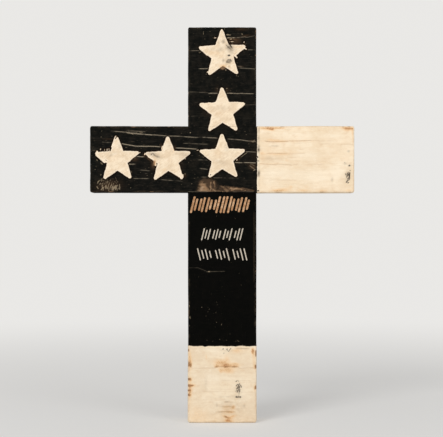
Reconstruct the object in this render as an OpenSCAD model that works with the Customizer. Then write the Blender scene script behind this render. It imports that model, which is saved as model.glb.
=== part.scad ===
// Painted wooden memorial cross: a post and a crossbar, joined flush with a cross-lap.
// It stands on the post's foot. The front faces -Y, and the origin is the centre of the foot's underside.

/* [Boards] */
// Thickness of both boards
board_t = 38; // [32:1:60]
// Width of the post
post_w = 92; // [75:1:140]
// Width of the crossbar
bar_w = 89; // [60:1:140]
// Length of the crossbar
bar_l = 357; // [240:1:600]
// Length of the post above the crossbar
head_h = 134; // [90:1:240]
// Length of the post below the crossbar
leg_h = 311; // [230:1:600]
// Radius of the worn arrises
arris_r = 2; // [0.5:0.1:3]

/* [Lap joint] */
// Thickness of the crossbar that runs on across the front of the post
lap_front = 19; // [10:1:26]
// Glue line at each face of the joint
glue_line = 0.15; // [0.05:0.05:0.5]

/* [Rows of strokes] */
// Depth of every stroke
stroke_depth = 1; // [0.3:0.1:2]
// Lean of the strokes from upright, in degrees
stroke_lean = 14; // [0:1:25]
// Height of the bold row
bold_h = 23.5; // [12:0.5:30]
// Thickness of a bold stroke
bold_stroke = 2.7; // [1:0.1:4]
// Bare width left at each side of the bold row
bold_margin = 6; // [5:0.5:15]
// Shift of the bold row to the right of the post's middle
bold_shift = -2.5; // [-3:0.5:3]
// Distance of the bold row's middle below the crossbar
bold_drop = 16.5; // [16.5:0.5:30]
// Height of the two thin rows
thin_h = 17; // [8:0.5:20]
// Thickness of a thin stroke
thin_stroke = 1.5; // [0.8:0.1:3]
// Width of the first thin row
first_w = 58; // [30:1:64]
// Width of the second thin row
second_w = 71; // [30:1:71]
// Distance of the first thin row's middle below the crossbar
first_drop = 56.5; // [50:0.5:80]
// Distance of the second thin row's middle below the first
second_drop = 27; // [24:0.5:50]

/* [Wear] */
// Width of a saw mark across the head
saw_w = 1.2; // [0.6:0.1:3]
// Depth of the deepest saw mark
saw_depth = 0.6; // [0.2:0.1:1.5]
// Length of the bare hollow along the crossbar's lower arris
wane_l = 82; // [30:1:90]
// Height of the hollow up the crossbar's front
wane_h = 19; // [6:1:24]
// Depth of the hollow at the arris
wane_depth = 1.6; // [0.5:0.1:4]
// Reach of the chips from the leg's arris
chip_reach = 1.2; // [0.5:0.1:3]

/* [Hidden] */
$fn = 48;

post_h = leg_h + bar_w + head_h;
front = -board_t / 2;
bar_z = leg_h + bar_w / 2;
over = 1;

// Rows of strokes: cells in the row, strokes in a cell, the row's width and its lean
bold_row = [8, 2, post_w - 2 * bold_margin, stroke_lean];
first_row = [4, 3, first_w, stroke_lean];
second_row = [3, 4, second_w, -stroke_lean];
// A cell's strokes fill this share of it, so that a wider gap parts the cells
cell_fill = 0.86;
// Heights of the strokes in a cell, in turn, as shares of the row's height
stroke_lengths = [1, 0.72, 0.88, 0.6, 1];

// Saw marks: height as a share of the head, start and end as shares of the post's width, share of the depth
saw_marks = [
    [0.34, -0.50, 0.44, 1.0],
    [0.58, -0.33, 0.26, 0.6],
    [0.77, -0.48, 0.48, 0.7],
    [0.89, -0.12, 0.20, 0.5]
];
// Chips in the leg's arrises: side, height above the foot and length
chips = [
    [-1, 38, 5],
    [-1, 51, 7],
    [-1, 79, 8],
    [-1, 146, 20],
    [1, 48, 6],
    [1, 77, 9],
    [1, 94, 18]
];

// Rectangle about the origin with round corners
module round_rect(w, h, r) {
    square([w, h - 2 * r], center = true);
    square([w - 2 * r, h], center = true);
    for (x = [-1, 1], y = [-1, 1])
        translate([x * (w / 2 - r), y * (h / 2 - r)])
            circle(r);
}

// Sawn board about the origin with every arris worn round
module board(size) {
    intersection() {
        linear_extrude(size.z, center = true)
            round_rect(size.x, size.y, arris_r);
        rotate([90, 0, 0])
            linear_extrude(size.y, center = true)
                round_rect(size.x, size.z, arris_r);
        rotate([90, 0, 90])
            linear_extrude(size.x, center = true)
                round_rect(size.y, size.z, arris_r);
    }
}

// Round-ended groove in the front face, upright and about the origin of x and z
module stroke(length, width) {
    translate([0, front + stroke_depth, 0])
        rotate([90, 0, 0])
            linear_extrude(stroke_depth + over) {
                square([width, length - width], center = true);
                for (end = [-1, 1])
                    translate([0, end * (length - width) / 2])
                        circle(width / 2);
            }
}

// Row of leaning strokes, grouped in cells, with its middle at x and z
module stroke_row(x, z, row, height, width) {
    cells = row[0];
    per_cell = row[1];
    cell_w = row[2] / cells;
    pitch = cell_w * cell_fill / per_cell;
    for (cell = [0 : cells - 1], i = [0 : per_cell - 1]) {
        off = (cell - (cells - 1) / 2) * cell_w + (i - (per_cell - 1) / 2) * pitch;
        length = height * stroke_lengths[(i + cell) % len(stroke_lengths)];
        translate([x + off, 0, z])
            rotate([0, row[3], 0])
                stroke(length, width);
    }
}

// Shallow round-bottomed saw mark across the head
module saw_mark(mark) {
    x0 = mark[1] * post_w;
    x1 = mark[2] * post_w;
    depth = mark[3] * saw_depth;
    radius = (saw_w * saw_w / 4 + depth * depth) / (2 * depth);
    translate([x0, front + depth - radius, post_h - (1 - mark[0]) * head_h])
        rotate([0, 90, 0])
            cylinder(h = x1 - x0, r = radius);
}

// Chip in a front arris of the leg, the bite of a sphere centred outside the arris
module chip(side, z, length) {
    radius = (length * length / 4 + chip_reach * chip_reach) / (2 * chip_reach);
    off = (radius - chip_reach) / sqrt(2);
    translate([side * (post_w / 2 + off), front - off, z])
        sphere(radius);
}

// Shallow hollow along the lower front arris of the crossbar, the bite of a large sphere
module wane() {
    half = wane_l / 2;
    below = (half * half - wane_h * wane_h) / (2 * wane_h);
    ahead = (half * half - wane_depth * wane_depth) / (2 * wane_depth);
    reach = below + wane_h;
    translate([0, front - ahead, leg_h - below])
        sphere(sqrt(ahead * ahead + reach * reach), $fn = 256);
}

module post() {
    color("#1b1a18")
        difference() {
            translate([0, 0, post_h / 2])
                board([post_w, board_t, post_h]);
            translate([-post_w / 2 - over, front - over, leg_h - glue_line])
                cube([post_w + 2 * over, over + lap_front + glue_line, bar_w + 2 * glue_line]);
            stroke_row(bold_shift, leg_h - bold_drop, bold_row, bold_h, bold_stroke);
            stroke_row(0, leg_h - first_drop, first_row, thin_h, thin_stroke);
            stroke_row(0, leg_h - first_drop - second_drop, second_row, thin_h, thin_stroke);
            for (mark = saw_marks)
                saw_mark(mark);
            for (c = chips)
                chip(c[0], c[1], c[2]);
        }
}

module crossbar() {
    color("#f1e2c8")
        difference() {
            union() {
                translate([0, 0, bar_z])
                    board([bar_l, board_t, bar_w]);
                // The upper arris stays sharp where the head stands against it
                translate([-post_w / 2, front, bar_z])
                    cube([post_w, board_t, bar_w / 2]);
            }
            translate([-post_w / 2 - glue_line, front + lap_front, leg_h - over])
                cube([post_w + 2 * glue_line, board_t, bar_w + 2 * over]);
            wane();
        }
}

post();
crossbar();
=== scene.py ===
import math

import bmesh
import bpy
import numpy as np
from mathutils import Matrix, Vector


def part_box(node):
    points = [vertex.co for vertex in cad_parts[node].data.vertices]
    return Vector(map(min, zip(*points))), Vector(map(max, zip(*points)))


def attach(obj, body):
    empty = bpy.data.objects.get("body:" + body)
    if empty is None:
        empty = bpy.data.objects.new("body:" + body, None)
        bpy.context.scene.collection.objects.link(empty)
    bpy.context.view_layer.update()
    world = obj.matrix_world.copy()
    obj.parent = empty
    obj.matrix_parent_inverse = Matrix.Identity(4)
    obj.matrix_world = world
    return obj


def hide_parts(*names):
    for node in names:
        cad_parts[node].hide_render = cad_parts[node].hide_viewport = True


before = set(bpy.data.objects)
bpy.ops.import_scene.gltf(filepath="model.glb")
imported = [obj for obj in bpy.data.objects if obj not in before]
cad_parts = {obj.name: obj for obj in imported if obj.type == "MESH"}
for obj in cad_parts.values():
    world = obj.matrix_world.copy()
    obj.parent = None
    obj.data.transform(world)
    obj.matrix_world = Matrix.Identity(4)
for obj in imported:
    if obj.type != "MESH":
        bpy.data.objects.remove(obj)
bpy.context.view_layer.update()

# Looks of a painted wooden memorial cross: two weathered boards under black and cream paint, with
# stencilled stars. Lengths are in millimetres in the row's frame (+X right, +Z up, front towards -Y)
# until a mesh or a lamp is made.

MM = 0.001


class Box:
    """A CAD node's box in millimetres."""

    def __init__(self, node):
        low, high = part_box(node)
        self.low, self.high = np.array(low) / MM, np.array(high) / MM
        self.size = self.high - self.low
        self.middle = (self.low + self.high) / 2


POST, BAR = Box("post"), Box("crossbar")
HALF_W, HALF_T = POST.size[0] / 2, POST.size[1] / 2
BAR_FOOT, BAR_TOP, BAR_MID = BAR.low[2], BAR.high[2], BAR.middle[2]
HEAD_TOP = POST.high[2]

# Lap joint and arrises, as in part.scad. The crossbar's upper arrises are sharp beside the head
LAP_FRONT = 19.0
GLUE_LINE = 0.15
ARRIS = 2.0
SHARP_ARRIS = 0.3
# Length that each wall of the lap joint takes up in a board's grid
WALL = 0.02
# Grid steps across a board's front, right, back and left sides
POST_STEPS = (0.85, 3.2, 2.4, 3.2)
BAR_STEPS = (0.8, 3.2, 2.4, 3.2)
# Edges bent by more than this many degrees are shaded sharp
SHARP_ANGLE = 50

# Paint: the cream arm's start, the cream foot's top, and the thickness of pale paint
CREAM_ARM_FROM = HALF_W + 1.1
CREAM_FOOT_TO = 103.8
PAINT_THICK = 0.3
# Where black paint runs down over the foot's edge: x, half width and length
BLACK_RUN = (-23, 2.2, 1.6)
# Where the cream arm's edge is nicked: height above the crossbar's foot, reach and depth
NICKED = (47, 5, 0.9)
# Half the width of a thin line
LINE_HALF = 0.8
# A distance that is outside everything
FAR = 99.0

# Stars: middle x and z, radius to the tips, turn in degrees. The inner corners' share of that
# radius, and the round that blunts the tips
STAR_INNER = 0.46
STAR_ROUND = 2.2
HEAD_STARS = [
    (0.4, HEAD_TOP - 37.0, 32.8, 1.8),
    (0.3, HEAD_TOP - 113.6, 32.0, 1.2),
]
BAR_STARS = [
    (0.4, BAR_MID + 2.2, 31.8, 1.0),
    (-72.9, BAR_MID - 0.8, 31.6, 1.1),
    (-141.5, BAR_MID - 0.6, 30.6, 1.1),
]

# Rows of strokes, as in part.scad: middle x, drop below the crossbar, cells, strokes in a cell,
# row width, row height, stroke width, lean
STROKE_DEPTH = 1.0
CELL_FILL = 0.86
STROKE_LENGTHS = [1, 0.72, 0.88, 0.6, 1]
BOLD_ROW = (-2.5, 16.5, 8, 2, 80, 23.5, 2.7, 14)
THIN_ROWS = [
    (0, 56.5, 4, 3, 58, 17, 1.5, 14),
    (0, 83.5, 3, 4, 71, 17, 1.5, -14),
]


# ------ noise and shapes on a board's face

def soft_step(low, high, value):
    """Eases from 0 at low to 1 at high, whichever of the two is larger."""
    t = np.clip((value - low) / (high - low), 0, 1)
    return t * t * (3 - 2 * t)


def noise(u, v, seed, octaves=1):
    """Smooth noise, about -1 to 1, with one feature a unit of u and v. Each use has its own seed."""
    total = 0
    for k in range(octaves):
        table = np.random.default_rng(seed + k).uniform(-1, 1, (256, 256))
        p, q = np.asarray(u) * 2**k, np.asarray(v) * 2**k
        i, j = np.floor(p).astype(int), np.floor(q).astype(int)
        s, t = soft_step(0, 1, p - i), soft_step(0, 1, q - j)
        i, j = i % 255, j % 255
        low = table[i, j] * (1 - s) + table[i + 1, j] * s
        high = table[i, j + 1] * (1 - s) + table[i + 1, j + 1] * s
        total = total + (low * (1 - t) + high * t) / 2**k
    return total


def spots(x, z, base, places):
    """Sum of soft ellipses: strength, x, z above base, reach along x and z, any turn in degrees."""
    total = np.zeros_like(x)
    for strength, x0, z0, reach_x, reach_z, *turn in places:
        angle = math.radians(turn[0]) if turn else 0.0
        c, s = math.cos(angle), math.sin(angle)
        dx, dz = x - x0, z - base - z0
        a, b = (dx * c + dz * s) / reach_x, (dz * c - dx * s) / reach_z
        total += strength * np.exp(-a * a - b * b)
    return total


def capsule_distance(x, z, x0, z0, length, width, lean=0):
    """Signed distance to a round-ended stroke that leans by lean degrees from upright."""
    s, c = math.sin(math.radians(lean)), math.cos(math.radians(lean))
    half = (length - width) / 2
    along = np.clip((x - x0) * s + (z - z0) * c, -half, half)
    return np.hypot(x - x0 - along * s, z - z0 - along * c) - width / 2


def marks_distance(x, z, base, marks):
    """Signed distance to the nearest mark: x, z above base, length, width, any lean in degrees."""
    nearest = np.full_like(x, FAR)
    for x0, z0, length, width, *lean in marks:
        near = np.hypot(x - x0, z - base - z0) < length / 2 + 6
        one = capsule_distance(x[near], z[near], x0, base + z0, length, width, *lean)
        nearest[near] = np.minimum(nearest[near], one)
    return nearest


def row_marks(row):
    """The marks of a row of leaning strokes, grouped in cells as in part.scad."""
    x0, drop, cells, per_cell, width, height, stroke, lean = row
    cell_w = width / cells
    pitch = cell_w * CELL_FILL / per_cell
    for cell in range(cells):
        for i in range(per_cell):
            off = (cell - (cells - 1) / 2) * cell_w + (i - (per_cell - 1) / 2) * pitch
            length = height * STROKE_LENGTHS[(i + cell) % len(STROKE_LENGTHS)]
            yield x0 + off, -drop, length, stroke, lean


def hatch(x0, z0, reach_x, reach_z, lean, count, length, width, seed):
    """Short marks strewn over an ellipse, all leaning about the same way."""
    rng = np.random.default_rng(seed)
    for _ in range(count):
        angle, out = rng.uniform(0, 2 * math.pi), math.sqrt(rng.uniform())
        yield (x0 + reach_x * out * math.cos(angle), z0 + reach_z * out * math.sin(angle),
               length * rng.uniform(0.6, 1.3), width * rng.uniform(0.7, 1.2), lean + rng.normal(0, 16))


def fan(x0, z0, turns, reaches, pitch, lowest, seed):
    """Short marks set in rows below a point, like the ribs of a fan, and none below lowest."""
    rng = np.random.default_rng(seed)
    for reach in reaches:
        count = round(math.radians(turns[1] - turns[0]) * reach / pitch)
        for turn in np.linspace(*turns, count):
            angle = math.radians(turn + rng.uniform(-3, 3))
            out = reach + rng.uniform(-1.2, 1.2)
            x, z = x0 + out * math.sin(angle), z0 - out * math.cos(angle)
            length, width = rng.uniform(2.0, 4.4), (0.3 + reach / 27) * rng.uniform(0.7, 1.1)
            lean = -turn * 0.8 + rng.normal(0, 18)
            if z > lowest:
                yield x, z, length, width, lean


def star_distance(x, z, x0, z0, radius, turn):
    """Signed distance to a five-pointed star with blunted tips."""
    corners = []
    for k in range(10):
        reach = (radius if k % 2 == 0 else radius * STAR_INNER) - STAR_ROUND
        angle = math.radians(turn + 36 * k)
        corners.append((x0 - reach * math.sin(angle), z0 + reach * math.cos(angle)))
    nearest, inside = np.full_like(x, 1e9), np.zeros(x.shape, bool)
    for (ax, az), (bx, bz) in zip(corners, corners[1:] + corners[:1]):
        ex, ez = bx - ax, bz - az
        t = np.clip(((x - ax) * ex + (z - az) * ez) / (ex * ex + ez * ez), 0, 1)
        nearest = np.minimum(nearest, np.hypot(x - ax - t * ex, z - az - t * ez))
        crosses = (az > z) != (bz > z)
        inside ^= crosses & (x < ax + ex * (z - az) / (ez if ez else 1e-9))
    return np.where(inside, -nearest, nearest) - STAR_ROUND


def painted_stars(x, z, stars, base, added, missing):
    """Signed distance to the stars' paint: hand-cut edges, stray bits added and flakes missing."""
    nearest = np.full_like(x, FAR)
    for star in stars:
        nearest = np.minimum(nearest, star_distance(x, z, *star))
    nearest = nearest + 0.35 * noise(x / 4.5, z / 4.5, 23, 2)
    nearest = np.minimum(nearest, marks_distance(x, z, base, added))
    return np.maximum(nearest, -marks_distance(x, z, base, missing))


def thin_lines(x, z, base, lines, seed):
    """Signed offset from the nearest thin line, and how strongly it shows, from 0 to 1.

    A line is its strength, how broken it is from -1 to 1, and its points as (x, z above base)."""
    offset, seen = np.full_like(x, 9.0), np.zeros_like(x)
    for k, (strength, gaps, path) in enumerate(lines):
        path_x, path_z = np.array(path, float).T
        away = z - base - np.interp(x, path_x, path_z) - 0.3 * noise(x / 12, 0 * x, seed + k, 2)
        ends = soft_step(path_x[0] - 2, path_x[0] + 2, x) * soft_step(path_x[-1] + 2, path_x[-1] - 2, x)
        broken = soft_step(gaps - 0.9, gaps + 0.5, noise(x / 7, 0 * x + 3.1, seed + 40 + k, 3))
        here = strength * ends * broken * soft_step(1.6, 1.1, np.abs(away))
        nearer = here > seen
        offset, seen = np.where(nearer, away, offset), np.where(nearer, here, seen)
    return offset, seen


# ------ board meshes

def section(half_across, half_depth, steps, arris):
    """Loop round a board's section: points and outward normals as (across, depth), front side first."""
    points, normals = [], []
    for (na, nd), step in zip([(0, -1), (1, 0), (0, 1), (-1, 0)], steps):
        n, t = np.array([na, nd], float), np.array([-nd, na], float)
        whole_run = (half_across if nd else half_depth) - ARRIS
        half_run = (half_across if nd else half_depth) - arris
        reach = (half_depth if nd else half_across) - arris
        for s in np.linspace(-half_run, half_run, round(2 * whole_run / step) + 1):
            points.append(n * (reach + arris) + t * s)
            normals.append(n)
        for angle in (math.radians(30), math.radians(60)):
            out = n * math.cos(angle) + t * math.sin(angle)
            points.append(n * reach + t * half_run + out * arris)
            normals.append(out)
    return np.array(points), np.array(normals)


class Board:
    """A board's surface as a grid of rings along its length, with both ends closed by shrinking rings.

    steps: see POST_STEPS. along: the rings' places. low and high: the depth of the front and back at
    each ring, which step in where the lap joint is cut. sharp: rings whose upper arrises are sharp.
    to_row turns (along, across, depth) into (x, y, z)."""

    def __init__(self, half_across, middle, steps, along, low, high, sharp, to_row):
        self.middle = middle
        self.loop, self.loop_normals = section(half_across, HALF_T, steps, ARRIS)
        square, _ = section(half_across, HALF_T, steps, SHARP_ARRIS)
        self.square = np.where(self.loop[:, :1] > 0, square, self.loop)
        start, end = along[0], along[-1]
        rings = self.cap(start, -1)[::-1]
        worn = [(math.radians(a), ARRIS * (1 - math.cos(math.radians(a)))) for a in (62, 31)]
        for tilt, inset in worn:
            rings.append(self.ring(start + ARRIS * (1 - math.sin(tilt)), inset, -tilt, low[0], high[0]))
        for place, front, back, is_sharp in zip(along, low, high, sharp):
            if start + ARRIS <= place <= end - ARRIS:
                rings.append(self.ring(place, 0, 0, front, back, is_sharp))
        for tilt, inset in reversed(worn):
            rings.append(self.ring(end - ARRIS * (1 - math.sin(tilt)), inset, tilt, low[-1], high[-1]))
        self.grid, self.normals = (np.array(part) for part in zip(*rings, *self.cap(end, 1)))
        self.measure(half_across, start, end, to_row)

    def ring(self, place, inset, tilt, front, back, is_sharp=False):
        """A ring's points and outward normals."""
        loop = (self.square if is_sharp else self.loop) - self.loop_normals * inset
        depth = front + (loop[:, 1] + HALF_T) / (2 * HALF_T) * (back - front)
        points = np.column_stack([np.full(len(loop), place), loop[:, 0] + self.middle, depth])
        tilted = np.full(len(loop), math.sin(tilt))
        return points, np.column_stack([tilted, self.loop_normals * math.cos(tilt)])

    def cap(self, place, sign):
        """Rings that shrink to close an end."""
        inner, along = self.loop - self.loop_normals * (ARRIS * 0.8), np.full(len(self.loop), place)
        normals = np.tile([float(sign), 0, 0], (len(inner), 1))
        return [(np.column_stack([along, inner[:, 0] * share + self.middle, inner[:, 1] * share]), normals)
                for share in np.linspace(1, 0.1, 12)]

    def measure(self, half_across, start, end, to_row):
        """Each point's place in the row, and how much it faces the front, a side or an end."""
        flat = self.grid.reshape(-1, 3)
        self.x, self.y, self.z = to_row(*flat.T)
        self.along, self.across, self.depth = flat[:, 0], flat[:, 1] - self.middle, flat[:, 2]
        normals = self.normals.reshape(-1, 3)
        self.out = np.column_stack(to_row(*normals.T))
        self.front = np.clip(-normals[:, 2], 0, 1) ** 4
        self.ends = np.abs(normals[:, 0])
        self.sides = np.clip(np.abs(normals[:, 1]), 0, 1) ** 4
        # The second least of the distances in from the board's faces is the distance to an arris
        inward = [half_across - np.abs(self.across), HALF_T - np.abs(self.depth),
                  np.minimum(self.along - start, end - self.along)]
        self.arris = np.sort(np.column_stack(inward), axis=1)[:, 1]

    def on_front(self, distance):
        """A signed distance that counts on the front only."""
        return np.where(self.front > 0.5, distance, FAR)

    def build(self, name, depth_in, attributes):
        """Makes the mesh with the surface moved in by depth_in, and its attributes."""
        moved = np.column_stack([self.x, self.y, self.z]) - self.out * depth_in[:, None]
        rows, cols = self.grid.shape[:2]
        index = np.arange(rows * cols).reshape(rows, cols)
        across = np.roll(index, -1, axis=1)
        quads = np.stack([index[:-1], across[:-1], across[1:], index[1:]], axis=-1).reshape(-1, 4)
        faces = quads.tolist() + [index[0].tolist()[::-1], index[-1].tolist()]
        mesh = bpy.data.meshes.new(name)
        mesh.from_pydata((moved * MM).tolist(), [], faces)
        mesh.validate()
        for key, values in attributes.items():
            layer = mesh.attributes.new(key, "FLOAT", "POINT")
            layer.data.foreach_set("value", values.astype(np.float32))
        mesh.polygons.foreach_set("use_smooth", [True] * len(mesh.polygons))
        piece = add_object(name, mesh)
        make_normals_outward(mesh)
        mesh.set_sharp_from_angle(angle=math.radians(SHARP_ANGLE))
        return piece


def add_object(name, data):
    item = bpy.data.objects.new(name, data)
    bpy.context.scene.collection.objects.link(item)
    return item


def make_normals_outward(mesh):
    work = bmesh.new()
    work.from_mesh(mesh)
    bmesh.ops.recalc_face_normals(work, faces=work.faces)
    work.to_mesh(mesh)
    work.free()


def ring_places(*spans):
    """Ring places from spans of (start, end, step)."""
    found = [np.linspace(a, b, max(2, round((b - a) / step) + 1)) for a, b, step in spans]
    return np.unique(np.round(np.concatenate(found), 4))


def post_rings():
    """The post's rings, closest at the rows of strokes, with the front let in at the crossbar."""
    foot_top = CREAM_FOOT_TO + 3
    rows_low, rows_high = BAR_FOOT - 96, BAR_FOOT - 2
    cut_low, cut_high = BAR_FOOT - GLUE_LINE, BAR_TOP + GLUE_LINE
    places = ring_places((0, foot_top, 0.9), (foot_top, rows_low, 1.2), (rows_low, rows_high, 0.66),
                         (rows_high, cut_low, 0.8), (cut_high, HEAD_TOP, 0.85))
    places = np.sort(np.append(places, [cut_low + WALL, BAR_MID, cut_high - WALL]))
    cut = (places > cut_low + WALL / 2) & (places < cut_high - WALL / 2)
    low = np.where(cut, -HALF_T + LAP_FRONT + GLUE_LINE, -HALF_T)
    return places, low, np.full_like(places, HALF_T), np.zeros_like(cut)


def bar_rings():
    """The crossbar's rings, with the back let in at the post."""
    cut = HALF_W + GLUE_LINE
    places = ring_places((BAR.low[0], -cut, 0.8), (-cut, cut, 0.8), (cut, BAR.high[0], 0.8))
    places = np.sort(np.append(places, [-cut + WALL, cut - WALL]))
    inside = np.abs(places) < cut - WALL / 2
    high = np.where(inside, -HALF_T + LAP_FRONT, HALF_T)
    return places, np.full_like(places, -HALF_T), high, inside


# ------ wear

def board_relief(b, seed):
    """Depth of the wood's own surface below the plane: cupping, weathered grain and rough end grain."""
    warp = 0.22 * noise(b.along / 120, b.across / 60, seed)
    warp = warp + 0.12 * noise(b.along / 31, b.across / 23, seed + 3)
    round_board = b.across + b.depth * 1.7
    fine = 0.10 * noise(b.along / 26, round_board / 1.9, seed + 5, 2)
    broad = 0.22 * noise(b.along / 70, round_board / 6.0, seed + 6, 2)
    fibre = fine * b.front + broad * (1 - b.front)
    flat = 1 - b.ends
    end_grain = 0.16 * (1.5 + noise(b.across / 3.1, b.depth / 3.1, seed + 9, 2)) * b.ends
    return (warp + fibre + 0.15 * b.front - 0.2 * (1 - b.front)) * flat + end_grain


def arris_wear(b, seed, chips):
    """Depth worn off each arris in mm, how rubbed it looks, and how bare the chips are, from 0 to 1.

    A chip is the side it is on, its place along the board, its length and its depth."""
    ragged = noise(b.along / 9, b.across / 14 + b.depth / 11, seed, 3)
    worn = 0.35 + 0.35 * ragged
    bare = np.zeros_like(worn)
    for (side_x, side_z), place, length, bite in chips:
        facing = soft_step(0.0, 0.4, b.out[:, 0] * side_x + b.out[:, 2] * side_z)
        span = np.exp(-((b.along - place) / (length / 2)) ** 4) * facing * soft_step(4, -4, b.depth)
        worn = worn + bite * span * (0.75 + 0.4 * noise(b.along / 2.5, b.depth / 3, seed + 5, 2))
        bare = np.maximum(bare, span)
    reach = 2.2 + 1.4 * np.clip(worn, 0, 2)
    near = np.clip(1 - b.arris / reach, 0, 1)
    rubbed_to = b.arris + 0.6 * noise(b.along / 3, 0 * worn, seed + 8)
    rubbed = soft_step(-0.3, 0.9, ragged) * soft_step(3.2, 0.6, rubbed_to)
    return worn * near**2, rubbed, bare * np.clip(1.25 - b.arris / reach, 0, 1)


def paint_relief(b, *edges):
    """Thickness of the paint inside either of two signed distances."""
    return PAINT_THICK * np.maximum(*(soft_step(0.5, -0.5, edge) for edge in edges)) * (1 - b.ends)


def grooves(line, seen, depth):
    """Depth of thin lines as grooves."""
    return depth * seen * np.exp(-(line / LINE_HALF) ** 2)


def off_front(b):
    """Attributes of a board's sides, ends and unpainted back."""
    return {"side": b.sides, "end": b.ends**2, "raw": soft_step(0.5, 1, b.out[:, 1])}


# ------ the tables' terms
#
# z is above the crossbar's top in a HEAD table, above the floor in a FOOT or LEG table, and above
# the crossbar's foot in a BAR or WANE table.
# LINES: see thin_lines. ADDED, MISSING, DARK, LIGHT and PALE: marks, see marks_distance.
# SMUDGE, BARE, STAIN and SHADE: spots, see spots. STAIN is brown above 0 and paler cream below it;
# SHADE is darker wood above 0 and paler wood below it. CHIPS: see arris_wear.

LEFT, RIGHT, UP, DOWN = (-1, 0), (1, 0), (0, 1), (0, -1)


# ------ the post

HEAD_LINES = [
    (0.85, -0.9, [(6, 119), (17, 119.3)]), (0.3, -0.1, [(17, 119.3), (35, 121.2)]),
    (0.6, -0.9, [(9, 114), (17.5, 114.4)]), (0.32, -0.5, [(-42, 102), (-28, 102.4)]),
    (0.34, -0.5, [(34, 103.6), (45, 103.4)]), (0.6, -0.6, [(-31, 77.5), (-18, 78)]),
    (0.34, -0.4, [(24, 78.6), (45, 77.4)]), (0.24, -0.2, [(19, 81.2), (28, 81)]),
    (0.22, 0, [(24, 119.6), (34, 120), (45, 122.6)]), (0.22, 0, [(-46, 46.6), (-19, 45.2)]),
    (0.75, -0.7, [(-18, 44.8), (-5, 44.6)]), (0.55, -0.4, [(5, 44.9), (25, 44.4)]),
    (0.65, -0.5, [(24, 44.3), (42, 44)]), (0.12, 0.2, [(20, 29), (45, 29.4)]),
    (0.12, 0.1, [(-42, 13.6), (-26, 14.2)]), (0.12, 0.1, [(28, 112), (44, 112.8)]),
    (0.1, 0.3, [(-44, 33), (-20, 32.4)]),
]
LEG_LINES = [
    (0.1, -0.6, [(-45, 209.5), (-33, 209.8), (-20, 204.6)]), (0.16, -0.7, [(-22, 204.4), (3, 204.8)]),
    (0.4, -0.6, [(-43, 74.3), (-8, 74.2)]), (0.9, -1, [(-10, 75.8), (22, 75.6)]),
    (0.4, -0.5, [(20, 74.2), (44, 74)]), (0.55, -0.5, [(18, 100.6), (37, 100.2)]),
    (0.22, -0.2, [(0, 57.4), (40, 57)]), (0.2, -0.2, [(-30, 42.5), (40, 42)]),
    (0.4, -0.7, [(-6, 15.6), (17, 15.2)]), (0.3, -0.4, [(1, 28.4), (14, 28)]),
]
# Star paint outside the star, and flakes out of it, above the crossbar
HEAD_ADDED = [
    (-0.6, 128.7, 4.4, 2.2), (-9.6, 119.2, 3, 0.9, 84), (29.4, 112.4, 4, 1, 8),
    (31, 104.7, 4.6, 1.3, 112), (19, 93.7, 4.2, 1.8, -36), (-23.4, 99.8, 12, 2.6, -46.6),
    (-29.6, 105.6, 4, 3, -20), (13.6, 114.2, 5, 0.7, 92), (-19.4, 73.4, 2.6, 1.2, 60),
    (11.4, 117.6, 4, 0.6, 80),
]
HEAD_MISSING = [
    (33.3, 109.8, 7, 2.6), (16.4, 93.6, 5, 0.7, -38), (-33.6, 109, 6, 2.4, -10), (8.8, 113.2, 4, 1, -30),
    (27.6, 100.4, 2.6, 0.7, 55), (18.4, 88, 9, 2.4, -21), (20, 111.8, 20, 2.6, 90),
    (-19, 111.3, 22, 2.6, 86), (10.6, 110.6, 3.6, 1.1, -30),
]
# Dark marks on pale paint
HEAD_DARK = [
    (6.8, 107.8, 5.6, 1.1, -35), (11.4, 108.6, 6, 1.7, -32), (9.2, 106.4, 4, 0.8, -30),
    (14, 105.6, 2.6, 0.8, -40), (9.2, 95.6, 3.6, 2.1, 84), (6.4, 87.4, 3.2, 1.1, 25), (9.2, 90, 5, 1.1, 80),
    (12, 88.6, 3, 1.3, -10), (8.8, 85.8, 5, 1.1, 96),
]
FOOT_DARK = [
    (1.3, 100, 2.4, 1.3, 70), (7, 100, 2, 1.1, 20), (6.6, 98.4, 3.4, 0.9, -35), (10.6, 99.4, 4.6, 0.9, 42),
    (2.2, 94.2, 1.8, 1, 60), (8.6, 96.8, 2, 1, -60), (19.2, 56.6, 3, 1.2, 52), (21.6, 56.8, 2.6, 0.9, -50),
    (19.8, 51.2, 4.6, 1.2, 38), (22.4, 51.4, 5.4, 1.3, 24), (25.2, 50.6, 3.6, 1.1, -34),
    (20.6, 47.4, 5.2, 1.3, 40), (23, 47.6, 5.8, 1.3, 20), (26, 48.6, 2.4, 0.9, 72),
    (19.2, 43.6, 3.4, 0.9, 62), (21.2, 43.2, 4.8, 1.2, 30), (23.6, 43.8, 4.6, 1.3, 8),
    (22.6, 40, 3.6, 0.8, 4), (22.4, 37.6, 3, 0.7), (21.6, 35.2, 7.4, 1.4, 86),
    (18.8, 35.6, 2.4, 1.5, 26), (24.8, 35, 2.6, 1.4, -16),
]
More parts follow.
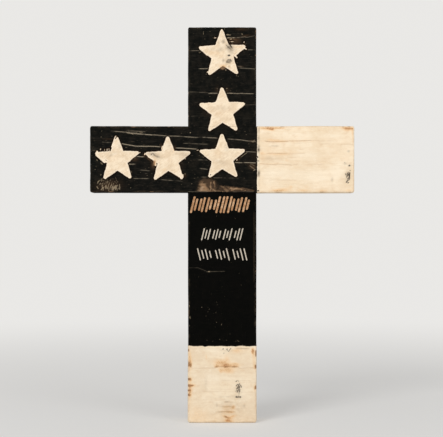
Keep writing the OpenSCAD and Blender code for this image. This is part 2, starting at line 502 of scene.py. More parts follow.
# Soft grey smudges on pale paint
HEAD_SMUDGE = [
    (0.75, 9.4, 88, 4, 2.6, 12), (0.5, 8.6, 95.4, 2.4, 1.8), (0.6, 1.6, 114.6, 2.4, 2.6),
    (0.66, 9.2, 107.4, 4.6, 4), (0.4, 1.6, 88.8, 1.6, 2.2), (0.3, -4, 112.4, 1.6, 2.8),
    (0.4, 4.6, 121, 2.6, 1.8), (0.25, -2, 104, 5, 3, 20), (0.2, 12, 101, 4, 3), (0.45, 9.6, 80.4, 1.4, 1.2),
    (0.3, 12.4, 103.6, 3.6, 6), (0.14, -14, 104, 8, 3, -10), (0.12, 0, 24, 14, 4, 10),
]
# The faint broad spot centred below the floor greys the whole foot a little, more towards its bottom
FOOT_SMUDGE = [
    (0.36, 22, 46.8, 3.6, 6.6), (0.36, 22, 35.4, 4.8, 1.6), (0.16, 6, 98.6, 7, 2.6),
    (0.3, 29.7, 22.7, 1.6, 1.6), (0.4, 5, 8.4, 3.4, 1.2, -18), (0.12, -22, 52, 2, 8), (0.06, 0, -6, 80, 40),
    (0.32, 7, 22.2, 7, 1), (0.3, 6.4, 28.8, 5, 0.9), (0.34, 2, 15.2, 10, 0.8), (0.2, -7, 23.6, 0.8, 4),
    (0.14, 4, 35.6, 12, 0.8, 4), (0.3, 29, 100.4, 5, 0.8), (0.12, 10, 22, 16, 9), (0.2, -10, 2.2, 3, 1.4),
]
# Spots worn down to the wood
HEAD_BARE = [
    (0.3, 25, 132.4, 6, 1.3), (0.95, 0.8, 78.6, 4.6, 2.4), (0.5, -10, 133, 3, 1),
    (0.55, 14.6, 110.6, 5.5, 1.1, -12), (0.5, 14.6, 117.4, 6, 1, -3), (0.45, 17, 93.6, 3.4, 1.4, -45),
    (0.4, -6, 48.4, 1.6, 4, -24), (0.4, 6.4, 48.4, 1.6, 4, 24),
]
FOOT_BARE = [
    (1.05, -42.8, 78.4, 2.4, 3.6), (1, -42, 50.8, 4.6, 1.3, 4), (0.95, -43.6, 59.4, 2.8, 1.7),
    (0.85, -43.8, 44, 2.6, 1.8), (0.8, -44.2, 37.6, 2.4, 1.8), (0.45, 42.2, 98.4, 1.4, 3.6),
    (0.8, 44.6, 76.2, 2, 3.8), (0.75, 44.6, 48, 2, 4.4), (0.7, 5.4, 8.4, 4, 1.1, -14),
    (0.9, 4.8, 75.6, 4.2, 1.2), (0.86, 16.4, 75.9, 5, 1.2), (0.76, -7.6, 75.7, 2.6, 1.2),
    (0.6, -44.6, 90, 1.4, 5), (0.45, 44.6, 88, 1.2, 5),
]
LEG_LIGHT = [
    (-17.7, 204.2, 3, 1.3, 90), (3.6, 171, 1.2, 0.8), (-1, 133, 2.6, 0.7),
    *hatch(-15, 150, 15, 20, 90, 26, 1.1, 0.7, 11), *hatch(-3, 111, 29, 1.6, 90, 14, 1.8, 0.7, 13),
    *hatch(0, 200, 40, 90, 90, 30, 1.1, 0.5, 37), *hatch(-44, 146, 1.4, 16, 0, 8, 2.4, 0.8, 41),
]
HEAD_LIGHT = [
    (9, 123.2, 6, 1.1, 88), (11.2, 119.4, 9, 1.6, 91), (13.2, 113.9, 8.5, 1.7, 94),
    (22.6, 119.2, 5, 0.7, 92), (-10.6, 133, 2, 1.2), (26.8, 124.4, 2.4, 1.4, -30),
    (3.2, 131.6, 1.8, 1.2), (-25.2, 126, 4.5, 0.8, 5), (-16.4, 128, 1.8, 0.8, 40),
    (7.4, 123.8, 4.4, 0.9, 86), (19.2, 68.4, 2, 0.9, 20), (-21.5, 70.6, 1.8, 0.9), (5, 76, 2.4, 1.3),
    (-30, 99.8, 3.4, 0.8, 66), (6.2, 51, 2.4, 1, 60), (-6.6, 50.6, 2, 1, -40), (12, 44.6, 4, 1.1, 90),
    (-11.5, 119.4, 3, 1, 84), *hatch(0, 66, 40, 64, 90, 40, 1.6, 0.55, 17),
]
HEAD_STAIN = [
    (0.42, 15, 117.2, 8, 1.7, -3), (0.22, 26, 131.4, 8.5, 2.4), (0.3, 31, 122, 6, 1.4, 10),
    (0.85, 1, 80.4, 4.6, 2.8), (0.5, 9.5, 80.6, 1.6, 1.2), (0.35, 16, 114, 9, 4, -8),
    (0.3, 16, 93.6, 4, 2, -45), (0.12, -7, 49, 3, 5), (0.12, 7, 49, 3, 4), (0.25, 24, 80.6, 5, 1),
    (0.3, -12, 99, 9, 4), (0.3, 22, 107, 8, 2, 4), (0.22, -4, 19, 16, 5), (0.2, 0, 96, 6, 8),
    (0.2, -20, 30, 9, 2),
]
FOOT_STAIN = [
    (0.38, -1, 79, 9, 4.2), (0.5, 13.4, 77.6, 9, 2.6), (0.3, 0, 83, 12, 3.4), (0.45, -7.6, 76.6, 3.4, 2.2),
    (0.4, 4.6, 77.4, 4, 3), (0.3, 19.6, 76.8, 3, 1.8), (0.6, 8, 70.6, 9.4, 4.4), (0.3, -2, 71.6, 4, 2.4),
    (0.3, 6.6, 87.4, 3.6, 4.2), (0.26, 18, 80.6, 5, 1.2), (0.16, 8, 78, 22, 11), (0.3, -2, 69, 2.6, 4),
    (0.26, 0.6, 55.4, 4, 4, 40), (0.22, 20, 79.6, 5, 1.2), (0.9, 41.4, 97.4, 2.2, 4.2),
    (0.42, 42.6, 88, 3, 9), (0.4, 19, 98, 8, 3.4), (0.7, -43.6, 79.4, 3.4, 6.4), (0.65, -45, 90, 3.8, 10),
    (0.42, -21.4, 90, 1.2, 4.6), (0.36, 7, 19, 12, 9), (0.44, 12, 14.8, 5, 1.5), (0.3, 7, 28.8, 6, 1),
    (0.34, 6, 22.2, 6, 1.2), (0.55, 15, 21.4, 2.6, 3, -20), (0.3, 2, 15.2, 10, 0.9),
    (0.95, 5.4, 8.2, 4, 1.5, -22), (0.45, 15.4, 9.6, 3.6, 1.4, 10), (0.65, 11, 1.8, 4.6, 1.6),
    (0.35, 29.8, 22.6, 1.6, 1.6), (0.35, -10.4, 2.2, 3, 1.4), (0.8, 7, 3.4, 4, 2.2),
    (0.4, 11.5, 7, 3.5, 2.6), (0.6, 44.4, 76.2, 2.8, 5), (0.6, 44.4, 48, 2.8, 6),
    (0.75, -41.6, 50.6, 6, 2.2, 4), (0.65, -43.6, 59, 3.8, 2.8), (0.6, -44, 44, 3.4, 3),
    (0.55, -44.4, 37.8, 3, 2.8), (0.5, -45.4, 48, 3.4, 18), (0.16, 0, 4, 60, 9), (0.22, -36, 12, 14, 16),
    (0.2, 24, 96, 24, 6), (0.16, -8, 82, 9, 7), (0.14, -42, 44, 8, 30), (-0.3, -16, 62, 18, 12),
    (0.1, -25, 16, 14, 12), (-0.35, -10, 98, 22, 5), (-0.3, 26, 88, 9, 6), (-0.3, 10, 60, 26, 5),
    (-0.2, -18, 30, 20, 9), (-0.25, 30, 34, 9, 14),
]
POST_CHIPS = [
    (LEFT, 38, 4, 1.3), (LEFT, 44, 3, 1), (LEFT, 50.5, 4, 1.8), (LEFT, 59, 4, 1.4), (LEFT, 79, 7, 1.6),
    (LEFT, 98, 4, 0.7), (LEFT, 148, 12, 0.9), (LEFT, 445, 4, 1.2), (LEFT, 414, 4, 0.8), (LEFT, 503, 3, 0.8),
    (RIGHT, 48, 6, 1.3), (RIGHT, 76, 6, 1.5), (RIGHT, 94, 10, 0.6), (RIGHT, 205, 4, 0.8),
    (RIGHT, 496, 4, 0.8), (RIGHT, 520, 4, 0.7), (LEFT, 2, 5, 0.7), (RIGHT, 2, 5, 0.9), (RIGHT, 528, 8, 0.7),
]
# Rubbed strip inside the leg's right arris: x, bottom and top
RUBBED_STRIP = (43, 187, 288)


def on_post(measure, x, z, head, low):
    """What a HEAD table gives, and what a FOOT or LEG table gives."""
    return measure(x, z, BAR_TOP, head), measure(x, z, 0, low)


def make_post():
    """The post's board, how far its surface lies in, and its attributes."""
    places, low, high, sharp = post_rings()
    b = Board(HALF_W, 0.0, POST_STEPS, places, low, high, sharp, lambda l, a, d: (a, d, l))
    x, z = b.x, b.z
    head = soft_step(BAR_TOP - 5, BAR_TOP, z)

    stars = b.on_front(painted_stars(x, z, HEAD_STARS, BAR_TOP, HEAD_ADDED, HEAD_MISSING))
    bold = b.on_front(marks_distance(x, z, BAR_FOOT, row_marks(BOLD_ROW)))
    thin = [mark for row in THIN_ROWS for mark in row_marks(row)]
    thin = b.on_front(marks_distance(x, z, BAR_FOOT, thin))
    run_x, run_w, run_l = BLACK_RUN
    black_run = run_l * np.exp(-((x - run_x) / run_w) ** 2) * b.front
    foot = z - CREAM_FOOT_TO + black_run - 0.6 * noise(x / 9, b.y / 9, 31, 3)

    head_line, head_seen = thin_lines(x, z, BAR_TOP, HEAD_LINES, 50)
    leg_line, leg_seen = thin_lines(x, z, 0, LEG_LINES, 90)
    line, seen = np.where(z > BAR_TOP, head_line, leg_line), (head_seen + leg_seen) * b.front
    worn, rubbed, bare = arris_wear(b, 61, POST_CHIPS)
    bare = bare * np.where(z > CREAM_FOOT_TO, 0.6, soft_step(2, 12, z))
    rubbed = rubbed * np.where(z > CREAM_FOOT_TO, 1.0, 0.4 + 0.5 * soft_step(2, 20, z))

    sawn = 0.09 * head * noise(x / 22, z / 1.3, 71, 2)
    carved = STROKE_DEPTH * soft_step(0.45, -0.45, np.minimum(bold, thin))
    cut = (sawn + grooves(line, seen, 0.4) + carved) * b.front
    depth_in = board_relief(b, 41) + worn - paint_relief(b, stars, foot) + cut
    hidden = (z > BAR_FOOT - GLUE_LINE) & (z < BAR_TOP + GLUE_LINE) & (b.out[:, 1] < 0.9)
    depth_in = np.where(hidden, 0, depth_in)

    dark = np.minimum(*on_post(marks_distance, x, z, HEAD_DARK, FOOT_DARK))
    light = np.minimum(*on_post(marks_distance, x, z, HEAD_LIGHT, LEG_LIGHT))
    stain = sum(on_post(spots, x, z, HEAD_STAIN, FOOT_STAIN))
    smudge = sum(on_post(spots, x, z, HEAD_SMUDGE, FOOT_SMUDGE))
    bare = np.maximum(bare, sum(on_post(spots, x, z, HEAD_BARE, FOOT_BARE)) * b.front)
    strip_x, strip_low, strip_high = RUBBED_STRIP
    strip = 0.5 * soft_step(1.6, 0.4, np.abs(x - strip_x)) * soft_step(strip_low, strip_low + 8, z)
    strip = strip * soft_step(strip_high, strip_high - 8, z) * b.front
    return b, depth_in, {
        "paint_cream": foot, "paint_star": stars, "stroke_bold": bold, "stroke_thin": thin,
        "line": line, "line_seen": seen, "mark_dark": b.on_front(dark), "mark_light": b.on_front(light),
        "rubbed": np.clip(rubbed + strip, 0, 1), "bare": bare,
        "stain": np.clip(stain, -1, 1) * b.front, "smudge": np.clip(smudge, 0, 1) * b.front,
        "figure": 0 * x, "rough": np.maximum(0.12 + 0.88 * head, 0.5 * (1 - b.front)),
        **off_front(b),
    }


# ------ the crossbar

BAR_LINES = [
    (0.55, -0.4, [(-149, 83), (-128, 81)]), (1, -0.9, [(-130, 80.8), (-94, 77.4)]),
    (0.6, -0.4, [(-94, 77.4), (-41, 74.6), (-7, 73.4)]), (0.55, -0.3, [(8, 72), (45, 69)]),
    (0.35, -0.2, [(-128, 83.8), (-104, 81.6)]), (0.3, 0, [(-162, 68), (-148, 67.6)]),
    (0.95, -0.9, [(-137, 66.4), (-117, 62.6), (-83, 61.6)]), (0.9, -0.8, [(-62, 59.8), (-34, 58.6)]),
    (0.4, -0.2, [(14, 56), (45, 54.6)]), (1, -1, [(-116, 48.2), (-106, 48)]),
    (0.3, -0.3, [(-32, 43.9), (-18, 43.2)]), (0.85, -0.6, [(15, 40.6), (45, 40)]),
    (0.6, -0.6, [(-127, 38), (-118, 38.2)]), (0.4, -0.3, [(-119, 18.6), (-98, 18.4)]),
    (0.35, -0.3, [(-103, 25.6), (-95, 25.6)]), (0.35, -0.2, [(-87, 17.4), (-53, 15)]),
    (0.4, -0.3, [(-30, 32.4), (-20, 31.2)]), (0.22, -0.4, [(-28, 20.6), (-15, 20.4)]),
    (0.2, 0, [(-12, 19.8), (24, 18.8)]), (0.3, 0, [(-57, 34), (-50, 33.8)]),
    (0.3, -0.1, [(-110, 30), (-98, 29.4)]), (0.45, -0.5, [(-46, 0.9), (-20, 0.7)]),
    (0.4, -0.3, [(14, 1), (42, 0.8)]), (0.25, 0.1, [(-176, 57), (-165, 56)]),
    (0.25, 0.1, [(-52, 66), (-20, 65)]),
    # On the cream arm
    (0.8, -0.9, [(58, 69), (70, 68), (90, 69)]), (0.65, -0.5, [(90, 69.2), (121, 69.8)]),
    (0.28, -0.2, [(121, 69.8), (150, 69)]), (0.5, -0.6, [(60, 52.4), (88, 52)]),
    (0.34, -0.2, [(88, 51.4), (112, 52.4)]), (0.34, -0.4, [(88, 47.6), (100, 47.2)]),
    (0.6, -0.8, [(51, 38.8), (66, 37.6), (94, 36.4)]), (0.34, -0.3, [(94, 36.8), (135, 38)]),
    (0.3, -0.3, [(63, 16.6), (100, 16.4)]), (0.3, -0.3, [(131, 65.2), (177, 65)]),
    (0.22, 0, [(66, 62.6), (76, 62.4)]), (0.22, -0.3, [(104, 58), (110, 58.4)]),
]
BAR_ADDED = [
    # Outer left star
    (-163.8, 45.8, 17.2, 3, -48), (-168.6, 53.8, 4.4, 2.4), (-145.4, 68, 17, 3.4, 19),
    (-163.9, 58.2, 2.4, 0.8, 10), (-158.6, 57.4, 2.2, 0.7), (-155, 57.6, 3, 0.9, 10),
    (-152.4, 57.8, 3.4, 0.8, -8), (-111.4, 53.6, 2.4, 1, 70),
    # Middle left star
    (-104, 51.8, 3, 1.6, 20), (-97.6, 46.8, 6, 1.4, -58), (-90.4, 39.6, 8, 2.8, -14),
    (-53.2, 22, 4, 1.2, -30), (-81.2, 60, 5, 1, 12), (-65.6, 57, 5, 1, -16), (-50.2, 45.6, 2.4, 0.8, -60),
    (-52.6, 23.4, 2.4, 1, -55),
    # Crossing star
    (20, 43.8, 2.4, 0.8, 60), (-33, 56.8, 2.6, 0.8, 88),
]
BAR_MISSING = [
    (-143, 74, 5, 1.2, 28), (-172.2, 56.6, 2, 1, 50), (-110, 51.2, 4, 0.8, 70), (-104.6, 47.4, 3, 0.8, 45),
    (-64.1, 22.9, 18, 2.2, -59), (33.8, 56.2, 3, 1, 70), (-15.6, 23.8, 2, 0.9, 60),
    (-30.6, 49.2, 3, 0.8, -60), (-156.6, 43.4, 2.6, 0.7, -30),
]
BAR_DARK = [
    # Middle left star, crossing star
    (-95, 51.4, 4, 0.9, 35), (-92, 51.2, 4, 0.9, -30), (-89.2, 48.6, 4.4, 0.8, -62),
    (-86.4, 47.8, 4.4, 0.9, 84), (-15.4, 23.8, 2.4, 1.2, 40),
    # Along the cream paint's edge
    (47.4, 48.2, 4.2, 1.6, -45), (46.8, 45.2, 6, 1.1), (47.8, 42.4, 4.4, 1.3, 86),
    (48.6, 2.2, 3, 1.8, 80),
    # Far end of the cream arm
    (166.6, 24.2, 3.4, 1.3, -30), (168.6, 22.4, 6, 1.4, 20), (170.4, 23.6, 5.4, 1.3, -20),
    (171.7, 23.4, 7.6, 1.6, 4), (171.3, 18.2, 4.4, 1.4, 16), (169.6, 18.8, 3.8, 1.1, 40),
    (169.4, 26.4, 4, 1, 60), (168.2, 14.8, 4.8, 1.6, 38), (169.8, 13, 2.6, 1.4, 60),
    (172.6, 29.4, 2.2, 0.9, 80), (171.5, 36.1, 2.6, 1.8, 70), (165.4, 39.8, 2.4, 0.7, -50),
]
BAR_SMUDGE = [
    (0.55, -90.5, 50, 6.6, 2.6, -24), (0.2, -98, 52.6, 5, 2), (0.95, 49, 58.6, 1.9, 4.2),
    (0.8, 49.3, 25.6, 1.6, 3.8), (0.5, 49.2, 72.4, 1.3, 3), (0.3, 49.6, 84, 0.9, 5),
    (0.22, 49.6, 44, 0.8, 60), (0.36, 169.8, 22, 3.6, 7, -6), (0.45, 171.5, 36.2, 2, 1.6),
    (0.36, 170.4, 55.4, 1.6, 1.3), (0.26, 166.2, 38.6, 2.6, 1.8), (0.28, 148.3, 17, 1.3, 2.8),
    (0.4, -143.4, 73.8, 1.6, 2.2), (0.3, 70, 62.6, 6, 0.8), (0.14, 66, 46, 16, 4),
    (0.25, -138, 62, 2, 4, 20), (0.2, -150, 50, 6, 2, 30), (0.2, 6, 60, 3, 4), (0.16, -72, 64, 2.4, 4),
    (0.14, 0, 40, 10, 3, -20), (0.22, -52, 51, 7, 4),
]
# Spots worn down to the wood
BAR_BARE = [
    (0.8, -91.4, 39.8, 2.4, 5.6, -16), (0.5, -99.6, 45.2, 5, 1.2, -40), (0.45, -81.8, 62, 1, 4.2, 12),
    (0.42, -64.4, 58.6, 1, 4.2, -16), (0.45, 42, 33, 3, 3, -40), (0.4, 24, 46.4, 7, 0.7, 54),
    (0.4, -106, 50.2, 1.6, 2), (0.42, 66.6, 86.2, 3, 1.2, -30), (0.4, 82.4, 6.8, 1.4, 0.8),
    (0.36, 174.8, 84.6, 0.9, 2.6), (0.45, 163.6, 88.4, 1.4, 0.9), (0.4, 176, 5.8, 0.9, 1.2),
    (0.4, 170.6, 0.9, 2.6, 0.8),
]
BAR_LIGHT = [
    (-42.9, 80.4, 1.8, 1.6), (-162.4, 82.6, 1.8, 0.7, 60), (-163, 74.8, 1.8, 0.9),
    (-123.3, 6.2, 1.8, 0.9, 80), (-170, 35, 2.6, 0.7), (40.5, 33.5, 9, 0.9, -52), (43.5, 30, 4, 0.9, 60),
    (41, 37, 8, 0.7, -66), (43, 70, 3, 0.8, 40), (41, 68, 3, 0.8, -60), (36, 66, 2, 0.7),
    (29.4, 50.6, 11.5, 0.8, 54), (-168.6, 43.4, 3, 1, -40), (-162.6, 39, 4.4, 1.1, -50),
    (-163.5, 23.6, 2, 1.1, 60), (-122.4, 27.4, 2.4, 0.9), (-124.6, 38.4, 3.4, 1, 84),
    (-121.6, 43.6, 2.4, 0.8, 30), (-117, 46.6, 4, 0.8, 50), (-50, 24.6, 3, 1, 10),
    *hatch(-118, 80, 13, 2, 84, 14, 2.6, 0.6, 19), *hatch(-90, 45, 88, 42, 90, 70, 2, 0.5, 23),
    *hatch(23, 60, 22, 26, 90, 12, 2, 0.55, 29),
    *fan(-148, 26, (-62, 31), (8, 11.5, 15, 18.5, 22), 2.6, 3, 31),
    *hatch(-152.5, 6.2, 16, 2.6, 4, 17, 4.6, 1.1, 43),
]
BAR_STAIN = [
    # On the stars
    (0.7, -91.8, 38.6, 3.2, 6, -12), (0.45, -98, 45, 7, 1.6, -40), (0.4, -105, 50, 1.8, 2.6),
    (0.5, -81.6, 60.6, 1.2, 4.6, 12), (0.5, -64.8, 57.6, 1.2, 4.4, -16), (0.3, -78, 31, 4, 2.2, 30),
    (0.4, -51, 23, 2.6, 1.8, -50), (0.22, -6, 53, 7, 9), (0.3, 22, 44, 6, 1.4, 54),
    (0.4, 41, 34, 5, 4, -40), (0.25, 42, 69, 5, 1.8), (0.2, -152, 72, 8, 1), (0.18, -148, 46, 8, 6),
    (0.14, -60, 36, 6, 6), (0.34, -153, 9, 14, 7, 4), (0.4, -117.9, 45.3, 4, 3),
    # On the cream arm: its edges, its lines, then paler and darker areas
    (1.05, 63.4, 86.8, 8, 3), (0.55, 52.5, 87.2, 5, 2.2), (0.55, 75, 87.4, 6, 2), (0.6, 164, 87, 6, 2.2),
    (0.5, 67.4, 84.6, 3, 2, -20), (0.55, 81, 86.8, 5.4, 1.6), (0.36, 106, 87.2, 7, 1.6),
    (0.22, 136, 87.6, 14, 1), (0.26, 81.4, 81.6, 2, 1.6), (0.95, 171.6, 86.6, 6.4, 2.2, -6),
    (0.45, 168, 83.6, 5, 2.6), (0.6, 175.4, 81, 1, 6), (0.34, 175.8, 70, 0.8, 7), (0.6, 74, 2.2, 9, 2.2),
    (0.4, 84, 3.8, 9, 3), (0.42, 92.6, 7.6, 3.4, 2.4), (0.4, 109, 2.4, 9, 2.6), (0.34, 114.6, 7.4, 4, 1.2),
    (0.42, 135, 2, 8, 2), (0.42, 171, 2.4, 6, 2.4), (0.4, 175.8, 6, 1.2, 1.6), (0.14, 110, 1, 70, 3),
    (0.36, 69, 69.8, 11, 2.4), (0.24, 64, 71.6, 5, 1.4), (0.26, 80, 68.6, 10, 1.8),
    (0.3, 104, 69.6, 24, 1.6), (0.3, 53.6, 53, 3.6, 1.6), (0.22, 74, 51.6, 18, 1.2),
    (0.22, 66, 38.4, 26, 1.2), (0.26, 87.5, 42.6, 2.2, 1.8), (0.2, 54, 46, 4, 6), (0.24, 154, 53.4, 2, 1.6),
    (0.2, 148.4, 17, 1.6, 3.2), (0.18, 148, 49, 9, 3), (0.2, 149, 38.6, 3, 1.8), (0.2, 164, 46, 8, 5),
    (0.16, 145, 62, 10, 1.6), (0.26, 70, 50, 24, 10), (0.16, 98, 56, 16, 6), (-0.42, 70, 26, 26, 8),
    (-0.38, 122, 22, 30, 12), (-0.24, 100, 78, 40, 4), (-0.35, 120, 50, 14, 8), (-0.35, 156, 30, 10, 14),
    (-0.3, 150, 76, 16, 5), (-0.35, 62, 14, 10, 5), (-0.3, 76, 61, 7, 3), (-0.5, 47.6, 40, 0.9, 60),
]
BAR_CHIPS = [
    (UP, 61, 9, 0.5), (UP, 81, 8, 0.3), (UP, 163, 3, 0.8), (UP, 171, 6, 0.4), (DOWN, 76, 14, 0.4),
    (DOWN, 134, 8, 0.3), (DOWN, 172, 6, 0.4), (UP, -120, 8, 0.5), (UP, -72, 5, 0.6), (DOWN, -150, 10, 0.5),
    (DOWN, -95, 8, 0.6),
]
# Patch worn along the lower edge of the crossing: bare spots, dark and pale figure, and shade
WANE_BARE = [
    (0.95, -25.5, 6.5, 10, 9.5, 10), (0.75, -23.5, 15, 8.5, 5.4), (0.75, -12.5, 9.5, 6.5, 9.5, -12),
    (0.7, -1, 5.4, 10, 6, -16), (1, 14, 4.4, 12, 3.6, -4), (0.95, 27, 3.4, 11, 3, -4),
    (0.7, 38, 2.2, 7, 2.2, -4), (0.55, 0, 0.6, 42, 2),
]
WANE_DARK = [
    (-19.4, 9.4, 3.6, 2.6), (-17.4, 5, 6, 1, -24), (-13.2, 9.5, 12, 1.2, 4), (-7.6, 11, 9, 1.5, -14),
    (-4.4, 7.6, 11, 0.9, -58), (-2, 4.6, 9, 0.8, -62), (1, 2.2, 8, 0.8, -74), (6.6, 5.4, 6, 1.1, -50),
    (20, 1.6, 18, 0.8, 88), (28, 4.2, 12, 0.6, 94), (-30, 16, 9, 0.8, 60), (-22, 14.4, 7, 0.7, 70),
    (-33.4, 9, 8, 0.7, 10), (12, 5.6, 6, 0.5, 88), (10.2, 2.6, 2.6, 1.3, 20), (24.6, 2.8, 4.4, 0.9, -44),
    (28.6, 2, 4, 0.9, 34), (33.4, 2.4, 4.4, 0.8, -60), (16.4, 2.2, 4, 0.9, 50), (38, 1.6, 5, 0.8, 100),
    (20, 7.4, 9, 0.6, 96),
]
WANE_PALE = [
    (-15.6, 8, 13, 1, 6), (-10.2, 11, 9, 0.9, -8), (-11.4, 3.6, 8, 0.9, -50), (-1, 8.2, 8, 0.7, -62),
    (18, 4.8, 16, 0.9, 93), (30, 2.6, 12, 0.7, 94), (-28, 4, 8, 2, 30), (-2, 0.8, 40, 0.7, 90),
]
WANE_SHADE = [
    (1, -24, 17, 10, 4.4), (0.9, -3.5, 7.4, 7.5, 5.4, -20), (0.6, -19.5, 10, 4, 5), (0.7, -35, 11, 4, 8),
    (0.85, -12.6, 10, 5, 8), (-0.4, -28, 4.4, 5.5, 4, 20), (-0.3, 14, 5, 7, 1.3, -4),
    (0.55, 34, 3.4, 8, 2.4, -4), (0.8, 24, 1.2, 24, 1.4), (0.45, 20, 5, 22, 4, -4),
]
# Knot near the far end of the black arm
KNOT = [(1, -155, 10, 13, 8.5)]


def worn_patch(b):
    """The patch under the crossing: how worn it is from 0 to 1, its figure, and its depth."""
    x, z = b.x, b.z
    worn = spots(x, z, BAR_FOOT, WANE_BARE) * soft_step(47, 43, np.abs(x)) * b.front
    worn = np.clip(worn * (1.0 + 0.25 * noise(x / 6, z / 4, 157, 3)), 0, 1)
    bend_x, bend_z = x + 0.8 * noise(x / 4, z / 4, 151, 2), z + 0.8 * noise(x / 4, z / 4, 153, 2)
    dark = soft_step(0.7, -0.5, marks_distance(bend_x, bend_z, BAR_FOOT, WANE_DARK))
    pale = soft_step(0.7, -0.5, marks_distance(bend_x, bend_z, BAR_FOOT, WANE_PALE))
    figure = (dark - 1.2 * pale + spots(bend_x, bend_z, BAR_FOOT, WANE_SHADE)) * (worn > 0.02)
    return worn, figure, worn * (0.9 + 0.35 * dark - 0.2 * pale)


def make_bar():
    """The crossbar's board, how far its surface lies in, and its attributes."""
    places, low, high, sharp = bar_rings()
    b = Board(BAR.size[2] / 2, BAR_MID, BAR_STEPS, places, low, high, sharp, lambda l, a, d: (l, d, a))
    x, z = b.x, b.z
    stars = BAR_STARS + [HEAD_STARS[1]]
    stars = b.on_front(painted_stars(x, z, stars, BAR_FOOT, BAR_ADDED, BAR_MISSING))
    nick_z, nick_reach, nick_depth = NICKED
    nicked = nick_depth * np.exp(-((z - BAR_FOOT - nick_z) / nick_reach) ** 2)
    nicked = nicked * noise(z / 1.8, b.y / 5, 35, 2) * b.front
    arm = CREAM_ARM_FROM - x - 0.35 * noise(z / 7, b.y / 7, 33, 3) + nicked
    line, seen = thin_lines(x, z, BAR_FOOT, BAR_LINES, 103)
    seen = seen * b.front

    wane, figure, hollow = worn_patch(b)
    worn, rubbed, bare = arris_wear(b, 161, BAR_CHIPS)
    # Beside the head and the leg its arrises aren't rubbed, and the upper one isn't worn either
    crossing = soft_step(HALF_W + 1, HALF_W - 1, np.abs(x)) * (1 - b.ends)
    keep = 1 - crossing * soft_step(0.2, 0.6, b.across / HALF_W)
    worn, rubbed, bare = worn * keep, rubbed * (1 - crossing), bare * (1 - crossing)
    cream_keeps = soft_step(HALF_W, HALF_W + 2, x)
    rubbed, bare = rubbed * (1 - 0.5 * cream_keeps), 0.6 * bare

    rough = 0.3 * spots(x, z, BAR_FOOT, KNOT) * noise(x / 1.5, z / 4, 181)
    rough = rough + 0.08 * noise(x / 24, z / 1.3, 183, 2)
    cut = (grooves(line, seen, 0.45) + hollow + rough) * b.front
    depth_in = board_relief(b, 171) + worn - paint_relief(b, stars, arm) + cut
    hidden = (np.abs(x) < HALF_W + GLUE_LINE) & (b.out[:, 1] > 0.5)
    depth_in = np.where(hidden, 0, depth_in)

    bare = np.maximum(bare, spots(x, z, BAR_FOOT, BAR_BARE) * b.front)
    dark, light = marks_distance(x, z, BAR_FOOT, BAR_DARK), marks_distance(x, z, BAR_FOOT, BAR_LIGHT)
    return b, depth_in, {
        "paint_cream": arm, "paint_star": stars, "stroke_bold": FAR + 0 * x, "stroke_thin": FAR + 0 * x,
        "line": line, "line_seen": seen, "mark_dark": b.on_front(dark), "mark_light": b.on_front(light),
        "rubbed": rubbed, "bare": np.clip(np.maximum(bare, 0.85 * wane), 0, 1),
        "stain": np.clip(spots(x, z, BAR_FOOT, BAR_STAIN), -1, 1) * b.front,
        "smudge": np.clip(spots(x, z, BAR_FOOT, BAR_SMUDGE), 0, 1) * b.front,
        "figure": figure, "rough": 1 + 0 * x, **off_front(b),
    }


# ------ materials

# Turns that lay a board's grain along the texture's X
UPRIGHT = (0.0, math.radians(90), 0.0)
LEVEL = (0.0, 0.0, 0.0)
# Growth rings: the way from a board's frame to the pith's, one year's width, and how far they wander
TO_PITH = (0.0, 17.0, -62.0)
RING_WIDTH = 4.3
RING_WANDER = 26.0


class Nodes:
    """Short calls that add nodes to a material or a world, and link them."""

    def __init__(self, owner):
        owner.use_nodes = True
        self.tree = owner.node_tree
        self.tree.nodes.clear()

    def add(self, kind, inputs=None, **settings):
        """Adds a node. inputs gives a socket's name or number a value, or another node's output."""
        node = self.tree.nodes.new(kind)
        for key, value in settings.items():
            setattr(node, key, value)
        for key, value in (inputs or {}).items():
            if isinstance(value, bpy.types.NodeSocket):
                self.tree.links.new(value, node.inputs[key])
            else:
                node.inputs[key].default_value = value
        return node

    def math(self, operation, a, b=0.0, clamp=False):
        return self.add("ShaderNodeMath", {0: a, 1: b}, operation=operation, use_clamp=clamp).outputs[0]

    def plus(self, a, b):
        return self.math("ADD", a, b)

    def minus(self, a, b, clamp=False):
        return self.math("SUBTRACT", a, b, clamp)

    def times(self, a, b, clamp=False):
        return self.math("MULTIPLY", a, b, clamp)

    def most(self, a, b):
        return self.math("MAXIMUM", a, b)

    def vector(self, operation, a, b):
        return self.add("ShaderNodeVectorMath", {0: a, 1: b}, operation=operation).outputs[0]

    def scaled(self, vector, scale):
        return self.add("ShaderNodeVectorMath", {0: vector, "Scale": scale}, operation="SCALE").outputs[0]

    def length(self, vector):
        return self.add("ShaderNodeVectorMath", {0: vector}, operation="LENGTH").outputs["Value"]

    def turned(self, vector, rotation):
        return self.add("ShaderNodeMapping", {"Vector": vector, "Rotation": rotation}).outputs[0]

    def position(self):
        return self.add("ShaderNodeTexCoord").outputs["Object"]

    def attribute(self, name):
        return self.add("ShaderNodeAttribute", attribute_name=name).outputs["Fac"]

    def noise(self, vector, scale, detail, roughness):
        """Noise of one scale, or of one for each axis."""
        if isinstance(scale, tuple):
            vector, scale = self.vector("MULTIPLY", vector, scale), 1.0
        return self.add("ShaderNodeTexNoise", {
            "Vector": vector, "Scale": scale, "Detail": detail, "Roughness": roughness}).outputs["Fac"]

    def span(self, value, low, high, to_low=0.0, to_high=1.0):
        """The value's place between low and high, eased, as one between to_low and to_high."""
        return self.add("ShaderNodeMapRange", {
            "Value": value, "From Min": low, "From Max": high, "To Min": to_low, "To Max": to_high,
        }, interpolation_type="SMOOTHSTEP").outputs["Result"]

    def mix(self, share, under, over):
        """Two colours mixed, by the share of the second from 0 to 1."""
        return self.add("ShaderNodeMix", {0: share, 6: under, 7: over}, data_type="RGBA").outputs[2]


